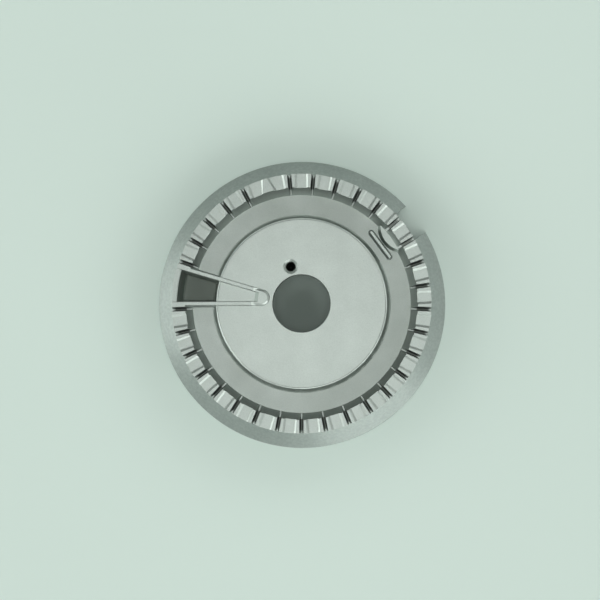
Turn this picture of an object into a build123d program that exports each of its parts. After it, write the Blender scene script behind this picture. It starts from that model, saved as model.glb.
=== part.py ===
"""Head of a gas hob burner: one aluminium die casting that feeds a ring of flame ports."""

import os
from math import asin, cos, degrees, radians, sin, tan

from build123d import *

# Heights in millimetres: the rim stands on Z 0, and the burner cap sits on the plane at head_height
head_height = 19.0
deck_drop = 3.0
gutter_drop = 8.5
chamber_drop = 13.0
sill_drop = 1.6
nose_drop = 0.5
throat_lift = 9.0
rim_edge = 1.0

# Radii about the axis at the top of each form, the width of the ring and the reach of the skirt
throat_radius = 11.6
deck_radius = 34.0
ring_outer_radius = 51.4
ring_width = 5.4
skirt_reach = 7.0

# Walls of the casting
shell_wall = 2.4
skirt_wall = 2.0
throat_wall = 2.6
pan_wall = 2.2

# Slopes in degrees: drafts from the vertical, and the skirt from the horizontal
deck_draft = 13.0
ring_inner_draft = 15.0
ring_outer_draft = 3.0
throat_draft = 1.5
skirt_angle = 45.0

# Rounding and chamfers of the turned section
deck_rounding = 0.9
gutter_chamfer = 0.4
underside_chamfer = 1.0

# Flame ports: tapered slots on an even pitch, with one pitch left blank and one given to the chamber
port_pitches = 33
first_port_angle = 8.2
blank_pitch = 9
chamber_pitch = 15
port_floor_width = 0.7
port_top_width = 1.7
port_step = 0.4

# Shallow cross channels in the tops of the teeth, between two ridges
channel_width = 3.55
channel_depth = 0.7
channel_slope = 50.0
wedge_inner_width = 4.7
wedge_outer_width = 1.45

# Simmer chamber: two radial walls that meet in a low round nose beside the throat
chamber_half_angle = 8.35
chamber_wall = 1.3
chamber_draft = 4.5
pocket_draft = 6.0
pocket_rounding = 1.0
sill_width = 2.0
sill_rounding = 0.4
nose_clearance = 1.4
nose_length = 2.8
nose_shoulder = 0.3
nose_slope = 30.0
shoulder_slope = 60.0
nose_chamfer = 0.7

# Electrode notch in the skirt, the raised land over it and the straight rib beside the land
electrode_angle = 36.8
notch_width = 13.2
land_wall = 3.0
land_rise = 2.5
land_draft = 22.0
rib_length = 13.1
rib_width = 1.0
rib_rise = 3.0
rib_setback = 2.4
rib_draft = 13.0

# Blind locating hole in the deck, in line with the blank pitch
hole_radius = 1.85
hole_sink_radius = 2.95
hole_sink_angle = 90.0
hole_depth = 6.5
hole_point_angle = 118.0
hole_from_axis = 15.3
hole_wall = 2.0

# How far a cutting shape runs past the face that it opens
overrun = 1.0
through_height = 2 * head_height


def run(angle):
    """Sideways run of a drafted wall for each millimetre of its height."""
    return tan(radians(angle))


ring_inner_radius = ring_outer_radius - ring_width
rim_radius = ring_outer_radius + skirt_reach

deck_z = head_height - deck_drop
gutter_z = head_height - gutter_drop
chamber_z = head_height - chamber_drop
sill_z = head_height - sill_drop
nose_z = head_height - nose_drop
land_z = gutter_z + land_rise
rib_z = gutter_z + rib_rise
deck_under_z = deck_z - shell_wall
gutter_under_z = gutter_z - shell_wall
inlay_z = gutter_z - shell_wall / 2

pitch_angle = 360 / port_pitches
half_pitch = pitch_angle / 2
port_angles = [first_port_angle + pitch_angle * pitch for pitch in range(port_pitches)]
blank_angle = port_angles[blank_pitch]
chamber_angle = port_angles[chamber_pitch]
chamber_plane = Plane.XY.rotated((0, 0, chamber_angle))
electrode_plane = Plane.XY.rotated((0, 0, electrode_angle))


def turned(angles):
    """Places about the axis, one for each angle."""
    return [Location((0, 0, 0), (0, 0, angle)) for angle in angles]


def corner(sketch, point):
    """The corner of a sketch that lies at a point of its outline."""
    return sketch.vertices().sort_by_distance(point)[0]


# Corners of the turned section, as radius and height
skirt_foot_radius = rim_radius + rim_edge / run(skirt_angle)
ring_foot_radius = ring_outer_radius + head_height * run(ring_outer_draft)
skirt_top_z = (skirt_foot_radius - ring_foot_radius) / (1 / run(skirt_angle) - run(ring_outer_draft))
skirt_top_radius = ring_outer_radius + (head_height - skirt_top_z) * run(ring_outer_draft)
rim_inner_radius = skirt_foot_radius - skirt_wall / sin(radians(skirt_angle))
deck_side_wall = shell_wall / cos(radians(deck_draft))
deck_under_shift = shell_wall * run(deck_draft) - deck_side_wall
throat_outer_radius = throat_radius + throat_wall

deck_edge = (deck_radius, deck_z)
deck_foot = (deck_radius + (deck_z - gutter_z) * run(deck_draft), gutter_z)
ring_foot = (ring_inner_radius - gutter_drop * run(ring_inner_draft), gutter_z)
ring_inner_top = (ring_inner_radius, head_height)
ring_outer_top = (ring_outer_radius, head_height)
deck_under_edge = (deck_radius + deck_under_shift, deck_under_z)
gutter_under_edge = (deck_foot[0] + deck_under_shift, gutter_under_z)
skirt_under_edge = (rim_inner_radius - gutter_under_z / run(skirt_angle), gutter_under_z)
throat_root = (throat_outer_radius, deck_under_z)
throat_foot_radius = throat_outer_radius - (deck_under_z - throat_lift) * run(throat_draft)

section_corners = [
    (throat_radius, throat_lift),
    (throat_foot_radius, throat_lift),
    throat_root,
    deck_under_edge,
    gutter_under_edge,
    skirt_under_edge,
    (rim_inner_radius, 0),
    (rim_radius, 0),
    (rim_radius, rim_edge),
    (skirt_top_radius, skirt_top_z),
    ring_outer_top,
    ring_inner_top,
    ring_foot,
    deck_foot,
    deck_edge,
    (throat_radius, deck_z),
]
section_chamfers = [
    (deck_foot, gutter_chamfer),
    (throat_root, underside_chamfer),
    (deck_under_edge, underside_chamfer),
    (skirt_under_edge, underside_chamfer),
]

# Room above the middle of the shell and inside the ring, where the inlaid forms stand
room_radius = (ring_inner_radius + ring_outer_radius) / 2
with BuildPart() as gas_room:
    with BuildSketch(Plane.XZ):
        with BuildLine():
            Polyline(
                (0, head_height),
                (0, deck_z - shell_wall / 2),
                (deck_radius + deck_under_shift / 2, deck_z - shell_wall / 2),
                (deck_foot[0] + deck_under_shift / 2, inlay_z),
                (room_radius, inlay_z),
                (room_radius, head_height),
                close=True,
            )
        make_face()
    revolve(axis=Axis.Z)


def chamber_half_width(distance, outward):
    """Half the width of the chamber at a distance from the axis, measured outward from its wall lines."""
    return (distance * sin(radians(chamber_half_angle)) + outward) / cos(radians(chamber_half_angle))


# Walls of the simmer chamber as one wedge, hollowed out later
wedge_half = chamber_wall / 2 + (head_height - inlay_z) * run(chamber_draft)
nose_centre = (throat_radius + nose_clearance + chamber_wall / 2) / (1 - sin(radians(chamber_half_angle)))
nose_radius = nose_centre * sin(radians(chamber_half_angle)) + wedge_half
nose_tangent = nose_centre - nose_radius * sin(radians(chamber_half_angle))
chamber_inner_radius = nose_centre + nose_length
shoulder_radius = chamber_inner_radius + nose_shoulder
with BuildPart() as chamber_walls:
    with BuildSketch(chamber_plane.offset(inlay_z)):
        with BuildLine():
            Polyline(
                (nose_tangent, -nose_radius * cos(radians(chamber_half_angle))),
                (ring_outer_radius, -chamber_half_width(ring_outer_radius, wedge_half)),
                (ring_outer_radius, chamber_half_width(ring_outer_radius, wedge_half)),
                (nose_tangent, nose_radius * cos(radians(chamber_half_angle))),
                close=True,
            )
        make_face()
        with Locations((nose_centre, 0)):
            Circle(nose_radius)
    extrude(amount=head_height - inlay_z, taper=chamber_draft)
    with Locations((0, 0, nose_z)):
        Cone(
            shoulder_radius,
            shoulder_radius + (nose_drop + overrun) * run(shoulder_slope),
            nose_drop + overrun,
            align=(Align.CENTER, Align.CENTER, Align.MIN),
            mode=Mode.SUBTRACT,
        )
    nose_top = chamber_walls.faces().filter_by_position(Axis.Z, nose_z, nose_z)[0]
    chamfer(nose_top.edges().sort_by_distance((0, 0, nose_z))[:3], nose_chamfer)
    add(gas_room.part, mode=Mode.INTERSECT)

# Room inside the chamber: level with the deck, then a deep pocket, then the sill of the wide port
room_half = -chamber_wall / 2 - chamber_drop * run(chamber_draft)
pocket_outer_radius = ring_outer_radius - sill_width
pocket_inner_foot = (deck_radius + (deck_z - chamber_z) * run(pocket_draft), chamber_z)
pocket_outer_foot = (pocket_outer_radius - (sill_z - chamber_z) * run(pocket_draft), chamber_z)
sill_edge = (pocket_outer_radius, sill_z)
chamber_roundings = [
    (deck_edge, deck_rounding),
    (pocket_inner_foot, pocket_rounding),
    (pocket_outer_foot, pocket_rounding),
    (sill_edge, sill_rounding),
]
with BuildPart() as chamber_room:
    with BuildSketch(chamber_plane.offset(chamber_z)):
        with BuildLine():
            Polyline(
                (nose_centre, -chamber_half_width(nose_centre, room_half)),
                (rim_radius, -chamber_half_width(rim_radius, room_half)),
                (rim_radius, chamber_half_width(rim_radius, room_half)),
                (nose_centre, chamber_half_width(nose_centre, room_half)),
                close=True,
            )
        make_face()
    extrude(amount=chamber_drop + overrun, taper=-chamber_draft)
    with BuildSketch(Plane.XZ) as chamber_section:
        with BuildLine():
            Polyline(
                (chamber_inner_radius, deck_z),
                deck_edge,
                pocket_inner_foot,
                pocket_outer_foot,
                sill_edge,
                (rim_radius, sill_z),
                (rim_radius, head_height + overrun),
                (chamber_inner_radius - (deck_drop + overrun) * run(nose_slope), head_height + overrun),
                close=True,
            )
        make_face()
        for point, radius in chamber_roundings:
            fillet(corner(chamber_section, point), radius)
    revolve(axis=Axis.Z, mode=Mode.INTERSECT)

# Pan that closes the pocket below the gutter
pan_foot_z = chamber_z - pan_wall
with BuildPart() as pocket_pan:
    with BuildSketch(chamber_plane.offset(pan_foot_z)):
        with BuildLine():
            Polyline(
                (nose_centre, -chamber_half_width(nose_centre, chamber_wall / 2)),
                (rim_radius, -chamber_half_width(rim_radius, chamber_wall / 2)),
                (rim_radius, chamber_half_width(rim_radius, chamber_wall / 2)),
                (nose_centre, chamber_half_width(nose_centre, chamber_wall / 2)),
                close=True,
            )
        make_face()
    extrude(amount=inlay_z - pan_foot_z)
    Cylinder(pocket_outer_foot[0] + pan_wall, through_height, mode=Mode.INTERSECT)
    Cylinder(pocket_inner_foot[0] - pan_wall, through_height, mode=Mode.SUBTRACT)

# Raised land over the electrode notch, and the ports that open onto it
land_radius = notch_width / 2 + land_wall
land_reach = degrees(asin(land_radius / ring_outer_radius))
port_pairs = list(enumerate(port_angles))
raised_pitches = [pitch for pitch, angle in port_pairs if abs(angle - electrode_angle) < land_reach]
with BuildPart() as land:
    with BuildSketch(electrode_plane.offset(inlay_z)):
        with Locations((ring_outer_radius, 0)):
            Circle(land_radius + (land_z - inlay_z) * run(land_draft))
    extrude(amount=land_z - inlay_z, taper=land_draft)
    add(gas_room.part, mode=Mode.INTERSECT)

# Straight rib in the gutter, against the land
rib_growth = 2 * (rib_z - inlay_z) * run(rib_draft)
with BuildPart() as rib:
    with BuildSketch(electrode_plane.offset(inlay_z)):
        with Locations((ring_outer_radius - land_radius - rib_setback, 0)):
            SlotOverall(rib_length + rib_growth, rib_width + rib_growth, rotation=90)
    extrude(amount=rib_z - inlay_z, taper=rib_draft)

# Notch through the skirt, with a round end under the ring
with BuildPart() as notch:
    with BuildSketch(electrode_plane.offset(-overrun)):
        with Locations((ring_outer_radius, 0)):
            Circle(notch_width / 2)
            Rectangle(rim_radius, notch_width, align=(Align.MIN, Align.CENTER))
    extrude(amount=land_z - shell_wall + overrun)

# Boss under the deck for the locating hole
hole_x = hole_from_axis * cos(radians(blank_angle))
hole_y = hole_from_axis * sin(radians(blank_angle))
hole_point = hole_radius / run(hole_point_angle / 2)
boss_foot_z = deck_z - hole_depth - hole_point - hole_wall
with BuildPart() as hole_boss:
    with Locations((hole_x, hole_y, boss_foot_z)):
        Cylinder(
            hole_radius + hole_wall,
            deck_z - shell_wall / 2 - boss_foot_z,
            align=(Align.CENTER, Align.CENTER, Align.MIN),
        )
    Cylinder(throat_radius + throat_wall / 2, through_height, mode=Mode.SUBTRACT)


def port_slot(floor_z):
    """A flame port along +X, opening out from its floor to above the ring."""
    flare = (port_top_width - port_floor_width) / 2 / (gutter_drop - port_step)
    half_floor = port_floor_width / 2 + (floor_z - gutter_z - port_step) * flare
    half_top = port_top_width / 2 + overrun * flare
    with BuildPart() as slot:
        with BuildSketch(Plane.YZ.offset(ring_foot[0] - overrun)):
            with BuildLine():
                Polyline(
                    (-half_floor, floor_z),
                    (half_floor, floor_z),
                    (half_top, head_height + overrun),
                    (-half_top, head_height + overrun),
                    close=True,
                )
            make_face()
        extrude(amount=rim_radius - ring_foot[0])
    return slot.part


def tooth_channel(inner_side, outer_side):
    """A channel along +X over a tooth, with a straight left side and a right side that may lean."""
    lean = (outer_side - inner_side) / (ring_outer_radius - ring_inner_radius)
    floor_z = head_height - channel_depth
    spread = (channel_depth + overrun) * run(channel_slope)
    with BuildPart() as channel:
        for distance in (ring_foot[0], rim_radius):
            right = inner_side + lean * (distance - ring_inner_radius)
            with BuildSketch(Plane.YZ.offset(distance)):
                with BuildLine():
                    Polyline(
                        (-right, floor_z),
                        (channel_width / 2, floor_z),
                        (channel_width / 2 + spread, head_height + overrun),
                        (-right - spread, head_height + overrun),
                        close=True,
                    )
                make_face()
        loft(ruled=True)
    return channel.part


def wedge_side(distance, width):
    """Distance from the middle of a channel to the foot of the wedge ridge beside it."""
    return distance * sin(radians(half_pitch)) - width / 2 - channel_depth * run(channel_slope)


deep_port = port_slot(gutter_z + port_step)
raised_port = port_slot(land_z + port_step)
channel = tooth_channel(channel_width / 2, channel_width / 2)
wedge_channel = tooth_channel(
    wedge_side(ring_inner_radius, wedge_inner_width),
    wedge_side(ring_outer_radius, wedge_outer_width),
)
wedge_channel_mirrored = mirror(wedge_channel, about=Plane.XZ)

unslotted = [blank_pitch, chamber_pitch]
deep_pitches = [pitch for pitch in range(port_pitches) if pitch not in unslotted + raised_pitches]
plain_teeth = [pitch for pitch in deep_pitches + raised_pitches if pitch + 1 not in unslotted]

with BuildPart() as burner_head:
    with BuildSketch(Plane.XZ) as section:
        with BuildLine():
            Polyline(*section_corners, close=True)
        make_face()
        fillet(corner(section, deck_edge), deck_rounding)
        for point, length in section_chamfers:
            chamfer(corner(section, point), length)
    revolve(axis=Axis.Z)
    add([chamber_walls.part, pocket_pan.part, land.part, rib.part, hole_boss.part])
    add(chamber_room.part, mode=Mode.SUBTRACT)
    add(notch.part, mode=Mode.SUBTRACT)
    with Locations(*turned([port_angles[pitch] for pitch in deep_pitches])):
        add(deep_port, mode=Mode.SUBTRACT)
    with Locations(*turned([port_angles[pitch] for pitch in raised_pitches])):
        add(raised_port, mode=Mode.SUBTRACT)
    with Locations(*turned([port_angles[pitch] + half_pitch for pitch in plain_teeth])):
        add(channel, mode=Mode.SUBTRACT)
    with Locations(*turned([blank_angle + half_pitch])):
        add(wedge_channel, mode=Mode.SUBTRACT)
    with Locations(*turned([blank_angle - half_pitch])):
        add(wedge_channel_mirrored, mode=Mode.SUBTRACT)
    with Locations((hole_x, hole_y, deck_z)):
        CounterSinkHole(hole_radius, hole_sink_radius, depth=hole_depth, counter_sink_angle=hole_sink_angle)
    with Locations((hole_x, hole_y, deck_z - hole_depth)):
        Cone(
            0,
            hole_radius,
            hole_point,
            align=(Align.CENTER, Align.CENTER, Align.MAX),
            mode=Mode.SUBTRACT,
        )

burner_head.part.label = "burner_head"
os.makedirs("parts", exist_ok=True)
export_step(burner_head.part, "parts/burner_head.step")
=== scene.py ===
"""Looks of the gas burner head: the casting's blasted aluminium, the floor, the light and the camera."""

from math import pi, radians, tan

import bpy
from mathutils import Matrix, Vector


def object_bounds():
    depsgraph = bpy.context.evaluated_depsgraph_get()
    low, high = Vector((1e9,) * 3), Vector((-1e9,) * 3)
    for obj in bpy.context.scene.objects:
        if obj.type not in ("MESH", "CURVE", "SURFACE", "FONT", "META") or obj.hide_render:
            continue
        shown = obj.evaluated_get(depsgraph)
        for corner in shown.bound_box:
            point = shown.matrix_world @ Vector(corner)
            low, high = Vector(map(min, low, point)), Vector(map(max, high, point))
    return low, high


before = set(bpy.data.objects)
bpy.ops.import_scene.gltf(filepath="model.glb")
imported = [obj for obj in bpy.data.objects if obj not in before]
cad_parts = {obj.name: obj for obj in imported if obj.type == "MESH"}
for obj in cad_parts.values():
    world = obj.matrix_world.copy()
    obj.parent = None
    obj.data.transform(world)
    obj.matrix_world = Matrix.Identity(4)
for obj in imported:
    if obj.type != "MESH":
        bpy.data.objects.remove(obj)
cad_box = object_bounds()

MM = 0.001

# Photograph's frame: pixels across, its scale at the floor, and the pixel of the part's axis
IMAGE_PIXELS = 600
PIXELS_PER_MM = 2.446
AXIS_PIXEL = (302.0, 304.5)

# Camera above the floor, and how far its foot lies from the axis
CAMERA_HEIGHT = 550 * MM
CAMERA_FOOT = (6.7 * MM, -15.3 * MM)
SENSOR_WIDTH = 36.0
NEAREST_SEEN = 10 * MM

# Floor: half its width, its gap under the rim, its colour and its roughness
FLOOR_HALF = 6.0
FLOOR_GAP = 0.02 * MM
FLOOR_TONE = (0.75, 0.85, 0.80, 1)
FLOOR_ROUGHNESS = 0.9

# Light: fill from all round, and soft boxes as azimuth, elevation, width and height in degrees, and level
LIGHT_TINT = (0.94, 1.0, 0.96)
FILL_LEVEL = 0.04
LAMP_DISTANCE = 9.0
LAMPS = [
    ("overhead_box", 0, 90, 22, 22, 1.6),
    ("left_box", 185, 32, 60, 32, 1.6),
    ("corner_box", 243, 32, 56, 32, 1.65),
    ("front_box", 300, 32, 60, 32, 1.6),
    ("right_box", 10, 32, 80, 28, 1.5),
    ("back_box", 95, 32, 90, 28, 1.15),
    ("left_low_box", 178, 7, 46, 13, 2.6),
    ("front_low_box", 303, 7, 52, 13, 2.35),
    ("right_low_box", 8, 7, 60, 13, 0.45),
]

# Heights and places on the casting
TOP_HEIGHT = 19 * MM
DECK_HEIGHT = 16 * MM
GUTTER_HEIGHT = 10.5 * MM
POCKET_HEIGHT = 6 * MM
RING_RADIUS = 51.4 * MM
RING_WIDTH = 5.4 * MM
BORE_RADIUS = 11.6 * MM
HOLE_PLACE = (-4.32 * MM, 14.68 * MM)
HOLE_RADIUS = 1.85 * MM
POCKET_END = (-48.5 * MM, 7.6 * MM)
POCKET_REACH = 6.9 * MM

# Blends between zones: wide and narrow, and the slopes at which a wall becomes a floor or an underside
WIDE_BLEND = 1 * MM
NARROW_BLEND = 0.2 * MM
FLOOR_SLOPES = (0.4, 0.8)
UNDERSIDE_SLOPES = (-0.2, -0.6)

# Blasted aluminium: its colours and roughness, the softening of its edges and the depth of its relief
PALE_TONE_LOW = (0.47, 0.505, 0.485, 1)
PALE_TONE_HIGH = (0.59, 0.63, 0.605, 1)
ROUGHNESS = (0.25, 0.35)
EDGE_RADIUS = 0.18 * MM
EDGE_SAMPLES = 8
PEBBLE_DEPTH = 0.03 * MM
GRAIN_DEPTH = 0.02 * MM

# Noise in the metal: scale, detail and roughness
GRAIN = (2600.0, 3.0, 0.6)
PEBBLES = (900.0, 2.0, 0.5)
PATCHES = (90.0, 4.0, 0.55)
# Noise that mottles the painted shade on the recess floors
RECESS_SHADE_MOTTLE = (32.0, 3.0, 0.5)

# Noise levels that are used, and what they are spread over
WIDE_LEVELS = (0.3, 0.7)
MIDDLE_LEVELS = (0.35, 0.65)
GRAIN_SPREAD = (0.2, 0.8)
PATCH_SPREAD = (-0.2, 0.2)

# Painted shade on the recess floors, in the hole and ports and on the underside, a darker tone on the
# skirt, and added roughness where the blasting reached less: colours, shares and dulling
RECESS_SHADE = (0.25, 0.275, 0.25, 1)
RECESS_SHADE_SHARES = (0.3, 2.5)
RECESS_DULLING = 0.17
WALL_DULLING = 0.08
SKIRT_TONE = (0.33, 0.35, 0.35, 1)
SKIRT_SHARES = (0.34, 0.62)
SKIRT_DULLING = 0.1
HOLE_AND_PORT_SHADE = (0.12, 0.13, 0.12, 1)
UNDERSIDE_SHADE = (0.20, 0.22, 0.205, 1)
UNDERSIDE_DULLING = 0.2


def node_tree(name):
    """A new material with an empty node tree."""
    material = bpy.data.materials.new(name)
    material.use_nodes = True
    tree = material.node_tree
    tree.nodes.clear()
    return material, tree


def add_node(tree, kind, **inputs):
    """A node of a kind, with the named inputs set."""
    node = tree.nodes.new(kind)
    for name, value in inputs.items():
        node.inputs[name.replace("_", " ")].default_value = value
    return node


def map_range(tree, value, source, target):
    """A value taken from one range to another."""
    node = add_node(tree, "ShaderNodeMapRange")
    for name, level in zip(("From Min", "From Max", "To Min", "To Max"), (*source, *target)):
        node.inputs[name].default_value = level
    tree.links.new(value, node.inputs["Value"])
    return node.outputs["Result"]


def join(tree, operation, first, *others):
    """Values joined in turn by a sum, a product or the larger one."""
    result = first
    for other in others:
        node = tree.nodes.new("ShaderNodeMath")
        node.operation = operation
        tree.links.new(result, node.inputs[0])
        tree.links.new(other, node.inputs[1])
        result = node.outputs["Value"]
    return result


def noise(tree, place, scale, detail, roughness):
    """Noise in the part's own space."""
    node = add_node(tree, "ShaderNodeTexNoise", Scale=scale, Detail=detail, Roughness=roughness)
    tree.links.new(place.outputs["Object"], node.inputs["Vector"])
    return node.outputs["Fac"]


def distance_from(tree, place, centre):
    """Level distance from an upright line through a point of the floor plan."""
    offset = tree.nodes.new("ShaderNodeVectorMath")
    offset.operation = "SUBTRACT"
    offset.inputs[1].default_value = (*centre, 0)
    tree.links.new(place.outputs["Object"], offset.inputs[0])
    level = tree.nodes.new("ShaderNodeVectorMath")
    level.operation = "MULTIPLY"
    level.inputs[1].default_value = (1, 1, 0)
    tree.links.new(offset.outputs["Vector"], level.inputs[0])
    length = tree.nodes.new("ShaderNodeVectorMath")
    length.operation = "LENGTH"
    tree.links.new(level.outputs["Vector"], length.inputs[0])
    return length.outputs["Value"]


def cast_surface(tree, place):
    """Shares from 0 to 1 of the zones: recess floors, walls, hole and ports, underside and skirt."""
    axes = tree.nodes.new("ShaderNodeSeparateXYZ")
    tree.links.new(place.outputs["Object"], axes.inputs["Vector"])
    height = axes.outputs["Z"]
    from_axis = distance_from(tree, place, (0, 0))
    surface = tree.nodes.new("ShaderNodeNewGeometry")
    facing = tree.nodes.new("ShaderNodeSeparateXYZ")
    tree.links.new(surface.outputs["Normal"], facing.inputs["Vector"])
    slope = facing.outputs["Z"]

    depth = map_range(tree, height, (DECK_HEIGHT, POCKET_HEIGHT), (0, 1))
    inside = map_range(tree, from_axis, (RING_RADIUS - WIDE_BLEND, RING_RADIUS), (1, 0))
    upward = map_range(tree, slope, FLOOR_SLOPES, (0, 1))
    sideways = map_range(tree, slope, FLOOR_SLOPES, (1, 0))
    floors = join(tree, "MULTIPLY", depth, depth, depth, inside, upward)
    walls = join(tree, "MULTIPLY", inside, sideways)

    from_hole = distance_from(tree, place, HOLE_PLACE)
    in_hole = map_range(tree, from_hole, (HOLE_RADIUS, HOLE_RADIUS + NARROW_BLEND), (1, 0))
    below_deck = map_range(tree, height, (DECK_HEIGHT - NARROW_BLEND, DECK_HEIGHT - WIDE_BLEND), (0, 1))
    hole = join(tree, "MULTIPLY", in_hole, below_deck)

    ring_inner_radius = RING_RADIUS - RING_WIDTH
    in_ring = map_range(tree, from_axis, (ring_inner_radius, ring_inner_radius + NARROW_BLEND), (0, 1))
    port_heights = (TOP_HEIGHT - 2 * WIDE_BLEND, GUTTER_HEIGHT + 2 * WIDE_BLEND)
    below_top = map_range(tree, height, port_heights, (0, 1))
    from_pocket = distance_from(tree, place, POCKET_END)
    clear_of_pocket = map_range(tree, from_pocket, (POCKET_REACH, POCKET_REACH + NARROW_BLEND), (0, 1))
    ports = join(tree, "MULTIPLY", in_ring, inside, clear_of_pocket, below_top)

    downward = map_range(tree, slope, UNDERSIDE_SLOPES, (0, 1))
    bore_edge = BORE_RADIUS + NARROW_BLEND
    in_bore = map_range(tree, from_axis, (bore_edge, bore_edge + NARROW_BLEND), (1, 0))
    underside = join(tree, "MAXIMUM", downward, join(tree, "MULTIPLY", in_bore, below_deck))
    skirt = map_range(tree, from_axis, (RING_RADIUS, RING_RADIUS + WIDE_BLEND), (0, 1))
    return floors, walls, join(tree, "MAXIMUM", hole, ports), underside, skirt


def darkened(tree, colour, amount, tone):
    """A colour taken towards a darker tone by an amount."""
    shade = add_node(tree, "ShaderNodeMixRGB", Color2=tone)
    tree.links.new(amount, shade.inputs["Fac"])
    tree.links.new(colour, shade.inputs["Color1"])
    return shade.outputs["Color"]


def cast_aluminium():
    """Satin die-cast aluminium with a fine blasted grain, duller where the blasting reached less; painted
    shade darkens the recess floors, the hole, the ports and the underside, and the skirt has a darker,
    mottled tone.
    """
    material, tree = node_tree("blasted_casting")
    link = tree.links.new
    output = add_node(tree, "ShaderNodeOutputMaterial")
    metal = add_node(tree, "ShaderNodeBsdfPrincipled", Metallic=1.0)
    link(metal.outputs["BSDF"], output.inputs["Surface"])
    place = add_node(tree, "ShaderNodeTexCoord")
    floors, walls, insides, underside, skirt = cast_surface(tree, place)
    grain = noise(tree, place, *GRAIN)
    pebbles = noise(tree, place, *PEBBLES)
    patches = noise(tree, place, *PATCHES)
    shade_mottle = noise(tree, place, *RECESS_SHADE_MOTTLE)

    speckle = map_range(tree, grain, WIDE_LEVELS, GRAIN_SPREAD)
    cloud = map_range(tree, patches, WIDE_LEVELS, PATCH_SPREAD)
    tone = add_node(tree, "ShaderNodeValToRGB")
    tone.color_ramp.elements[0].color = PALE_TONE_LOW
    tone.color_ramp.elements[1].color = PALE_TONE_HIGH
    link(join(tree, "ADD", speckle, cloud), tone.inputs["Fac"])
    # Painted shade on the recess floors, stronger the deeper they lie and mottled by noise
    recess_shade = join(tree, "MULTIPLY", floors, map_range(tree, shade_mottle, MIDDLE_LEVELS, RECESS_SHADE_SHARES))
    # A darker tone on the skirt, mottled by noise
    speckled = join(tree, "MULTIPLY", skirt, map_range(tree, pebbles, MIDDLE_LEVELS, SKIRT_SHARES))
    colour = darkened(tree, tone.outputs["Color"], recess_shade, RECESS_SHADE)
    colour = darkened(tree, colour, speckled, SKIRT_TONE)
    # Painted shade inside the hole and the ports
    colour = darkened(tree, colour, insides, HOLE_AND_PORT_SHADE)
    # Painted shade on the underside and on the wall of the bore below the deck
    colour = darkened(tree, colour, underside, UNDERSIDE_SHADE)
    link(colour, metal.inputs["Base Color"])

    gloss = map_range(tree, grain, (0, 1), ROUGHNESS)
    dulled = (
        (floors, RECESS_DULLING),
        (walls, WALL_DULLING),
        (underside, UNDERSIDE_DULLING),
        (skirt, SKIRT_DULLING),
    )
    for zone, dulling in dulled:
        gloss = join(tree, "ADD", gloss, map_range(tree, zone, (0, 1), (0, dulling)))
    link(gloss, metal.inputs["Roughness"])

    rounding = add_node(tree, "ShaderNodeBevel", Radius=EDGE_RADIUS)
    rounding.samples = EDGE_SAMPLES
    normal = rounding.outputs["Normal"]
    for texture, depth in ((pebbles, PEBBLE_DEPTH), (grain, GRAIN_DEPTH)):
        relief = add_node(tree, "ShaderNodeBump", Distance=depth)
        link(normal, relief.inputs["Normal"])
        link(texture, relief.inputs["Height"])
        normal = relief.outputs["Normal"]
    link(normal, metal.inputs["Normal"])
    return material


def floor_paint():
    """Plain pale surface under the part."""
    material, tree = node_tree("floor_paint")
    output = add_node(tree, "ShaderNodeOutputMaterial")
    paint = add_node(tree, "ShaderNodeBsdfPrincipled", Roughness=FLOOR_ROUGHNESS, Base_Color=FLOOR_TONE)
    tree.links.new(paint.outputs["BSDF"], output.inputs["Surface"])
    return material


def add_floor():
    """A wide flat floor just under the rim."""
    mesh = bpy.data.meshes.new("floor")
    corners = [(x * FLOOR_HALF, y * FLOOR_HALF, 0) for x, y in ((-1, -1), (1, -1), (1, 1), (-1, 1))]
    mesh.from_pydata(corners, [], [(0, 1, 2, 3)])
    floor = bpy.data.objects.new("floor", mesh)
    floor.location.z = cad_box[0][2] - FLOOR_GAP
    bpy.context.scene.collection.objects.link(floor)
    mesh.materials.append(floor_paint())


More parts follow.
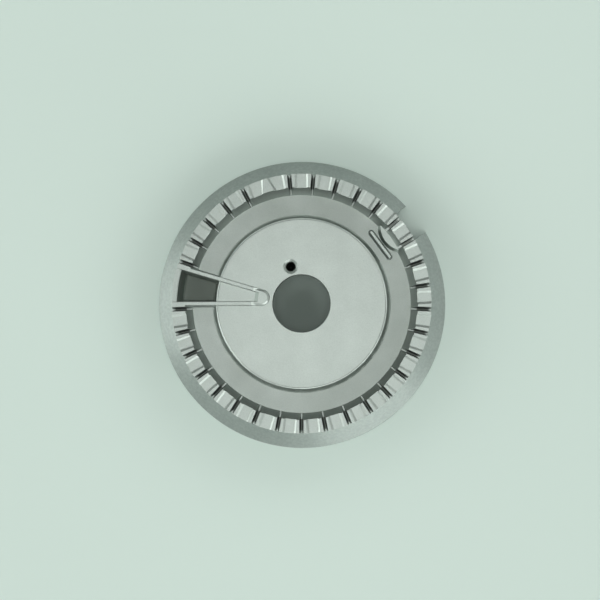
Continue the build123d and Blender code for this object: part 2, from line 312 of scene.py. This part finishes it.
def add_lamp(name, azimuth, elevation, width, height, level):
    """A soft box that faces the part from a direction; level is the brightness of its front."""
    lamp = bpy.data.lights.new(name, "AREA")
    lamp.shape = "RECTANGLE"
    lamp.size = 2 * LAMP_DISTANCE * tan(radians(width / 2))
    lamp.size_y = 2 * LAMP_DISTANCE * tan(radians(height / 2))
    lamp.energy = level * pi * lamp.size * lamp.size_y
    lamp.color = LIGHT_TINT
    holder = bpy.data.objects.new(name, lamp)
    holder.rotation_euler = (radians(90 - elevation), 0, radians(azimuth + 90))
    holder.location = holder.rotation_euler.to_matrix() @ Vector((0, 0, LAMP_DISTANCE))
    holder.visible_camera = False
    bpy.context.scene.collection.objects.link(holder)


def add_world():
    """Faint even light from all round."""
    world = bpy.data.worlds.new("studio")
    bpy.context.scene.world = world
    world.use_nodes = True
    tree = world.node_tree
    tree.nodes.clear()
    output = add_node(tree, "ShaderNodeOutputWorld")
    fill = add_node(tree, "ShaderNodeBackground", Color=(*LIGHT_TINT, 1), Strength=FILL_LEVEL)
    tree.links.new(fill.outputs["Background"], output.inputs["Surface"])


def add_camera():
    """The photograph's camera, almost straight above the part."""
    data = bpy.data.cameras.new("camera")
    data.sensor_width = SENSOR_WIDTH
    pixel = MM / PIXELS_PER_MM
    data.lens = SENSOR_WIDTH * CAMERA_HEIGHT / (IMAGE_PIXELS * pixel)
    data.clip_start = NEAREST_SEEN
    camera = bpy.data.objects.new("camera", data)
    middle = IMAGE_PIXELS / 2
    target = Vector(((middle - AXIS_PIXEL[0]) * pixel, (AXIS_PIXEL[1] - middle) * pixel, 0))
    camera.location = (*CAMERA_FOOT, CAMERA_HEIGHT)
    backward = (camera.location - target).normalized()
    sideways = Vector((0, 1, 0)).cross(backward).normalized()
    camera.rotation_euler = Matrix((sideways, backward.cross(sideways), backward)).transposed().to_euler()
    bpy.context.scene.collection.objects.link(camera)
    bpy.context.scene.camera = camera


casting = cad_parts["burner_head"]
casting.material_slots[0].material = cast_aluminium()

add_floor()
add_world()
for lamp in LAMPS:
    add_lamp(*lamp)
add_camera()
bpy.context.scene.view_settings.view_transform = "Standard"
